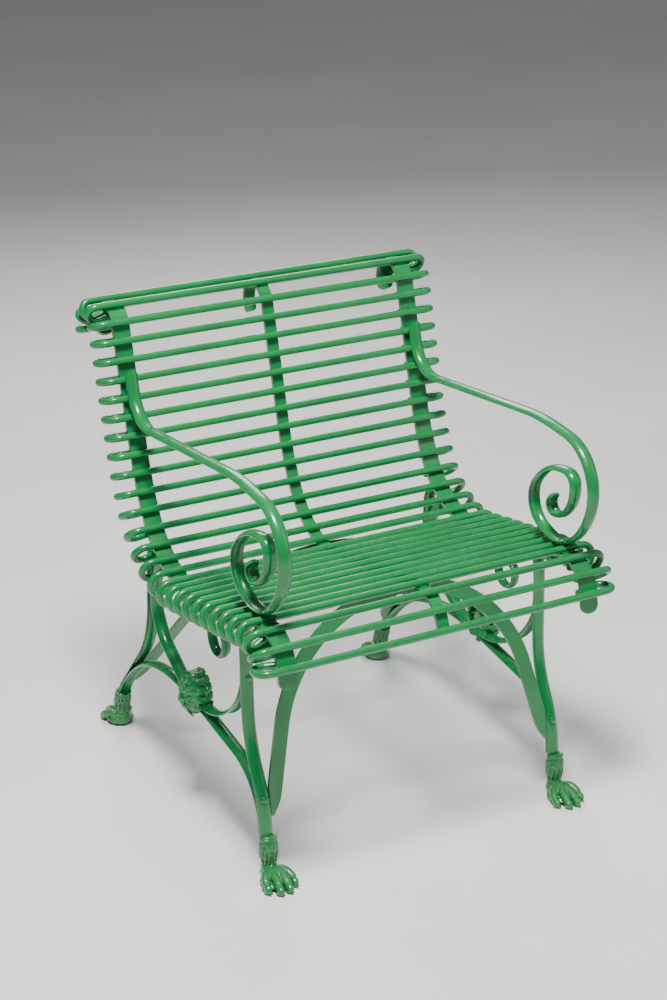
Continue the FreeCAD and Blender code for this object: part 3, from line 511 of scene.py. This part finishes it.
def make_paw(side, end, settings):
    """A lion's paw with four toes, under an ankle with a ruff of fur and a plain collar."""
    node = side + "_" + end + "_paw"
    lo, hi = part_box(node)
    middle = (lo.x + hi.x) / 2
    lo.x -= settings.splay
    hi.x += settings.splay
    front = end == "front"
    forward = -1 if front else 1
    heel = hi.y if front else lo.y
    tilt = 0.0 if front else settings.rear_lean
    ankle = settings.front_ankle if front else settings.rear_ankle
    top = settings.collar_top / MM

    def place(s, f, z):
        return Vector((middle + s * MM, heel + forward * f * MM, z * MM))

    def shank(z):
        """How far forward of the heel the middle of the ankle is at a height."""
        return ankle / MM + min((top - z) * math.sin(tilt), 13.0)

    def round_ankle(s, e, z):
        """A point beside the ankle, square to its lean."""
        lean = tilt * max(0.0, 1 - (top - z) / 55)
        return s, shank(z) + e * math.cos(lean), z + e * math.sin(lean)

    draw = random.Random(settings.seed + 7)
    clay = Clay(place)
    for z, across, along_f in ((67, 12.8, 9.8), (60, 14.0, 11.2), (52, 15.0, 12.4), (44, 13.8, 11.6),
                               (36, 11.2, 10.0), (28, 11.0, 10.6), (22, 13.5, 12.5)):
        clay.lump((0, shank(z), z), (across, along_f, 9.0))
    clay.lump((0, shank(20) + 1, 13), (15.5, 15.5, 13.5))
    clay.lump((0, 35, 15), (20.0, 21, 14.0))
    clay.lump((0, 38, 7.5), (25.0, 27, 8.4))
    ring = 56
    for n in range(ring):
        a = math.tau * n / ring
        for z, radius, grow in ((70.2, 3.1, 0.0), (65.4, 1.7, 0.7)):
            wide, deep = 11.6 + grow, 8.6 + grow
            clay.lump(round_ankle(wide * math.cos(a), deep * math.sin(a), z), (radius,) * 3)
    for row, (z_top, z_tip, wide, deep, count) in enumerate(RUFF_ROWS):
        for n in range(count):
            a = math.tau * (n + 0.5 * row) / count
            sway = draw.uniform(-0.16, 0.16)
            points = []
            for share in (0.0, 0.4, 0.8, 1.0):
                z = z_top + (z_tip - z_top) * share
                bulge = 1.0 + 0.09 * math.sin(math.pi * share)
                b = a + sway * share
                points.append(round_ankle(wide * bulge * math.cos(b), deep * bulge * math.sin(b), z))
            clay.lock(points, 2.6, 1.3)
    for s, tip in ((-22.0, 57.0), (-7.6, 70.0), (7.6, 70.0), (22.0, 57.0)):
        clay.lock([(s * 0.5, 30, 20), (s * 0.85, tip - 20, 23), (s, tip - 6, 13)], 6.4, 7.2, 2.0)
        clay.lump((s, tip - 8, 14.0), (7.0, 7.6, 8.0))
        clay.lump((s * 1.03, tip + 1, 7.8), (7.0, 8.4, 8.0))
        claw = [(s * 1.04, tip + 7.5, 9.0), (s * 1.05, tip + 10.5, 7.0), (s * 1.05, tip + 10.5, 2.5)]
        clay.lock(claw, 1.9, 1.1)
    piece = clay.fuse(side + "_" + end + "_lion_paw", settings.voxel, (lo, hi))
    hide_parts(node)
    return finish_piece(piece, cast_enamel())


# Welds and rivets

def rod_line(node):
    """The place across the bench and the radius of a rod's long straight run."""
    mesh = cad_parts[node].data
    ends = set()
    for edge in mesh.edges:
        a, b = (mesh.vertices[i].co for i in edge.vertices)
        if abs(a.x - b.x) > 0.2:
            ends.add((round(a.y, 5), round(a.z, 5)))
            ends.add((round(b.y, 5), round(b.z, 5)))
    y = sum(p[0] for p in ends) / len(ends)
    z = sum(p[1] for p in ends) / len(ends)
    return y, z, max(math.dist(p, (y, z)) for p in ends)


def bead(corners, faces, start, length, radius, draw):
    """A rippled bead of weld along X."""
    rings, sides = 17, 8
    first = len(corners)
    for r in range(rings):
        t = r / (rings - 1)
        taper = math.sqrt(max(0.0, 1 - (2 * t - 1) ** 4))
        ripple = 1 + 0.16 * math.cos(r * math.pi)
        size = radius * (0.12 + 0.88 * taper) * ripple * draw.uniform(0.94, 1.06)
        for s in range(sides):
            a = math.tau * s / sides
            corners.append(start + Vector((length * t, size * math.cos(a), size * math.sin(a))))
    for r in range(rings - 1):
        for s in range(sides):
            m = (s + 1) % sides
            faces.append([first + r * sides + s, first + (r + 1) * sides + s,
                          first + (r + 1) * sides + m, first + r * sides + m])
    faces.append([first + s for s in range(sides)])
    faces.append([first + (rings - 1) * sides + s for s in reversed(range(sides))])


def make_welds(strap, settings):
    """The fillet welds that hold the rods on one strap."""
    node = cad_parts[strap]
    lo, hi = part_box(strap)
    middle = (lo.x + hi.x) / 2
    margin = settings.weld_margin
    length = hi.x - lo.x - 2 * margin
    draw = random.Random(settings.seed)
    corners, faces = [], []
    for name in sorted(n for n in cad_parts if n.startswith("rod_")):
        y, z, radius = rod_line(name)
        centre = Vector((middle, y, z))
        found, contact, _, _ = node.closest_point_on_mesh(centre)
        toward = contact - centre
        if not found or toward.length > radius + 0.002:
            continue
        toward.normalize()
        beside = Vector((0, -toward.z, toward.y))
        for way in (-1, 1):
            at = centre + toward * (radius - 0.0006) + beside * way * radius * 0.62
            bead(corners, faces, at - Vector((length / 2, 0, 0)), length, settings.weld_radius, draw)
    piece = new_object(strap + "_welds", corners, faces)
    shade_smooth(piece.data)
    return finish_piece(piece, weld_enamel())


def set_rivets(name, node, shots, diameter):
    """Domed heads where each shot, a start and a direction, first meets a bar."""
    size = diameter / 2 / MM
    profile = [(size * r, h) for r, h in ((1.0, -0.6), (1.0, 0.3), (0.96, 1.0), (0.84, 1.9), (0.62, 2.7),
                                          (0.34, 3.2), (0.1, 3.35))]
    corners, faces = [], []
    for start, direction in shots:
        hit, where, normal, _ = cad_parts[node].ray_cast(Vector(start), Vector(direction))
        if not hit:
            raise RuntimeError("no surface on %s for a rivet from %s" % (node, start))
        more, more_faces = turned(where, normal, profile)
        first = len(corners)
        corners += more
        faces += [[first + i for i in f] for f in more_faces]
    piece = new_object(name, corners, faces)
    shade_smooth(piece.data)
    return finish_piece(piece, cast_enamel())


def make_rivets(side, settings):
    """Rivets where the arch and the side bars cross the front leg, and one in the belly of the arm."""
    leg = side + "_front_leg"
    lo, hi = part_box(leg)
    x = (lo.x + hi.x) / 2
    shots = [((x, lo.y - 0.1, z), (0, 1, 0)) for z in settings.rivet_heights]
    set_rivets(leg + "_rivets", leg, shots, settings.rivet)
    arm = side + "_arm"
    belly = min((v.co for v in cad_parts[arm].data.vertices), key=lambda c: c.z)
    shots = [((x, belly.y, belly.z + settings.belly_room), (0, 0, -1))]
    set_rivets(arm + "_rivet", arm, shots, settings.arm_rivet)


# Settings

class BenchPaint(bpy.types.PropertyGroup):
    """Colours and wear of the enamel"""
    paint: bpy.props.FloatVectorProperty(
        name="Paint", description="Colour of the enamel",
        subtype="COLOR", size=3, min=0, max=1, default=(0.0, 0.21, 0.047))
    deep_paint: bpy.props.FloatVectorProperty(
        name="Deep paint", description="Colour where the enamel lies thick",
        subtype="COLOR", size=3, min=0, max=1, default=(0.0, 0.115, 0.027))
    gloss_roughness: bpy.props.FloatProperty(
        name="Roughness", description="Roughness of clean enamel",
        default=0.24, min=0, max=1, subtype="FACTOR")
    coat: bpy.props.FloatProperty(
        name="Coat", description="Strength of the clear gloss on top",
        default=0.6, min=0, max=1, subtype="FACTOR")
    chips: bpy.props.FloatProperty(
        name="Chips", description="How much paint has chipped off",
        default=0.2, min=0, max=1, subtype="FACTOR")
    dust: bpy.props.FloatProperty(
        name="Dust", description="Dry dust on the surfaces that face up",
        default=0.1, min=0, max=1, subtype="FACTOR")
    splash: bpy.props.FloatProperty(
        name="Splash", description="Soil splashed on the paws",
        default=0.35, min=0, max=1, subtype="FACTOR")


class BenchCastings(bpy.types.PropertyGroup):
    """Shape of the lion masks and paws"""
    voxel: bpy.props.FloatProperty(
        name="Grain", description="Smallest detail of the castings in millimetres",
        default=0.62, min=0.3, max=3)
    wrap: bpy.props.FloatProperty(
        name="Wrap", description="How far the mane reaches back over the side bars",
        default=0.0215, unit="LENGTH")
    front_ankle: bpy.props.FloatProperty(
        name="Front ankle", description="Heel to the middle of a front ankle",
        default=0.0162, unit="LENGTH")
    rear_ankle: bpy.props.FloatProperty(
        name="Rear ankle", description="Heel to the middle of a rear ankle",
        default=0.0098, unit="LENGTH")
    splay: bpy.props.FloatProperty(
        name="Splay", description="How far the outer toes spread beyond a plain paw",
        default=0.004, unit="LENGTH")
    collar_top: bpy.props.FloatProperty(
        name="Collar top", description="Height of the collars on the paws",
        default=0.074, unit="LENGTH")
    locks: bpy.props.IntProperty(
        name="Locks", description="Locks of hair round each mask",
        default=19, min=9, max=40)
    rear_lean: bpy.props.FloatProperty(
        name="Rear lean", description="Lean of the collar on the rear paws",
        default=math.radians(28), subtype="ANGLE")
    seed: bpy.props.IntProperty(
        name="Seed", description="Choice of small irregularities",
        default=12)


class BenchFixings(bpy.types.PropertyGroup):
    """Sizes of the welds and rivets"""
    weld_radius: bpy.props.FloatProperty(
        name="Weld radius", description="Half the thickness of a weld bead",
        default=0.0018, unit="LENGTH")
    weld_margin: bpy.props.FloatProperty(
        name="Weld margin", description="Bare strap beside each weld bead",
        default=0.003, unit="LENGTH")
    rivet: bpy.props.FloatProperty(
        name="Rivet", description="Diameter of a rivet head",
        default=0.012, unit="LENGTH")
    arm_rivet: bpy.props.FloatProperty(
        name="Arm rivet", description="Diameter of the rivet in an arm's belly",
        default=0.009, unit="LENGTH")
    belly_room: bpy.props.FloatProperty(
        name="Belly room", description="Free height above the belly of an arm",
        default=0.04, unit="LENGTH")
    rivet_heights: bpy.props.FloatVectorProperty(
        name="Rivet heights", description="Heights of the rivets on a front leg",
        size=2, default=(0.323, 0.133), unit="LENGTH")
    seed: bpy.props.IntProperty(
        name="Seed", description="Choice of small irregularities",
        default=5)


class BenchStage(bpy.types.PropertyGroup):
    """Floor, light and camera"""
    floor: bpy.props.FloatProperty(
        name="Floor", description="Side of the square floor",
        default=24.0, unit="LENGTH")
    lens: bpy.props.FloatProperty(
        name="Lens", description="Focal length in millimetres",
        default=73.53)
    eye: bpy.props.FloatVectorProperty(
        name="Eye", description="Place of the camera",
        size=3, unit="LENGTH", default=(-1.43386, -2.75905, 1.70018))
    turn: bpy.props.FloatVectorProperty(
        name="Turn", description="Pitch, roll and heading of the camera",
        size=3, subtype="EULER", default=tuple(math.radians(a) for a in (68.608, -1.150, -27.577)))


# Soft lamps: name, place, side and power.
LAMPS = (
    ("key", (-0.7, -1.1, 3.2), 0.7, 190.0),
    ("fill", (2.6, -2.0, 1.7), 2.2, 14.0),
    ("rim", (0.9, 2.6, 2.4), 1.6, 60.0),
)


# Operators

class BENCH_OT_paint_bars(bpy.types.Operator):
    """Paints every bar, rod, strap and arch of the frame"""
    bl_idname = "bench.paint_bars"
    bl_label = "Paint bars"

    def execute(self, context):
        bars = [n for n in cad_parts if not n.endswith(("_paw", "_mask"))]
        if not bars:
            raise RuntimeError("the frame has no bars to paint")
        for name in bars:
            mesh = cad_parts[name].data
            mesh.materials.clear()
            mesh.materials.append(bar_enamel())
        return {"FINISHED"}


class BENCH_OT_masks(bpy.types.Operator):
    """Models the two lion masks"""
    bl_idname = "bench.masks"
    bl_label = "Lion masks"

    def execute(self, context):
        for side in SIDES:
            make_mask(side, context.scene.bench_castings)
        return {"FINISHED"}


class BENCH_OT_paws(bpy.types.Operator):
    """Models the four lion paws"""
    bl_idname = "bench.paws"
    bl_label = "Lion paws"

    def execute(self, context):
        for side in SIDES:
            for end in ("front", "rear"):
                make_paw(side, end, context.scene.bench_castings)
        return {"FINISHED"}


class BENCH_OT_welds(bpy.types.Operator):
    """Lays the weld beads between the rods and the three straps"""
    bl_idname = "bench.welds"
    bl_label = "Welds"

    def execute(self, context):
        for strap in ("left_strap", "centre_strap", "right_strap"):
            make_welds(strap, context.scene.bench_fixings)
        return {"FINISHED"}


class BENCH_OT_rivets(bpy.types.Operator):
    """Sets the domed rivets in the front legs and the arms"""
    bl_idname = "bench.rivets"
    bl_label = "Rivets"

    def execute(self, context):
        for side in SIDES:
            make_rivets(side, context.scene.bench_fixings)
        return {"FINISHED"}


class BENCH_OT_stage(bpy.types.Operator):
    """Lays the pale floor, hangs the soft lights and places the camera"""
    bl_idname = "bench.stage"
    bl_label = "Stage"

    def execute(self, context):
        settings = context.scene.bench_stage
        half = settings.floor / 2
        corners = [(-half, -half, 0), (half, -half, 0), (half, half, 0), (-half, half, 0)]
        ground = new_object("floor", corners, [[0, 1, 2, 3]])
        ground.data.materials.append(floor_material())
        for name, at, side, power in LAMPS:
            data = bpy.data.lights.new(name, "AREA")
            data.size = side
            data.energy = power
            lamp = bpy.data.objects.new(name, data)
            lamp.location = at
            lamp.rotation_euler = (Vector((0, 0, 0.35)) - Vector(at)).to_track_quat("-Z", "Y").to_euler()
            context.scene.collection.objects.link(lamp)
        world = bpy.data.worlds.new("Soft studio")
        world.use_nodes = True
        sky = world.node_tree.nodes["Background"]
        sky.inputs["Color"].default_value = SKY
        sky.inputs["Strength"].default_value = SKY_STRENGTH
        context.scene.world = world
        lens = bpy.data.cameras.new("camera")
        lens.lens = settings.lens
        lens.sensor_width = 36.0
        lens.clip_end = 100.0
        camera = bpy.data.objects.new("camera", lens)
        pitch, roll, heading = settings.turn
        aim = Matrix.Rotation(heading, 4, "Z") @ Matrix.Rotation(pitch, 4, "X")
        camera.matrix_world = Matrix.Translation(settings.eye) @ aim @ Matrix.Rotation(roll, 4, "Z")
        context.scene.collection.objects.link(camera)
        context.scene.camera = camera
        return {"FINISHED"}


OPERATORS = (BENCH_OT_paint_bars, BENCH_OT_masks, BENCH_OT_paws, BENCH_OT_welds,
             BENCH_OT_rivets, BENCH_OT_stage)


class BENCH_PT_sidebar(bpy.types.Panel):
    """The bench's pieces and settings in the sidebar"""
    bl_idname = "BENCH_PT_sidebar"
    bl_label = "Garden bench"
    bl_space_type = "VIEW_3D"
    bl_region_type = "UI"
    bl_category = "Bench"

    def draw(self, context):
        for name in SETTINGS:
            box = self.layout.box()
            group = getattr(context.scene, name)
            for key in group.bl_rna.properties.keys():
                if key not in {"rna_type", "name"}:
                    box.prop(group, key)
        for operator in OPERATORS:
            self.layout.operator(operator.bl_idname)


SETTINGS = {"bench_paint": BenchPaint, "bench_castings": BenchCastings,
            "bench_fixings": BenchFixings, "bench_stage": BenchStage}


def register():
    for cls in (*SETTINGS.values(), *OPERATORS, BENCH_PT_sidebar):
        bpy.utils.register_class(cls)
    for name, cls in SETTINGS.items():
        setattr(bpy.types.Scene, name, bpy.props.PointerProperty(type=cls))


def unregister():
    for name in SETTINGS:
        delattr(bpy.types.Scene, name)
    for cls in reversed((*SETTINGS.values(), *OPERATORS, BENCH_PT_sidebar)):
        bpy.utils.unregister_class(cls)


def main():
    register()
    for operator in OPERATORS:
        group, name = operator.bl_idname.split(".")
        getattr(getattr(bpy.ops, group), name)()


if __name__ == "__main__":
    main()
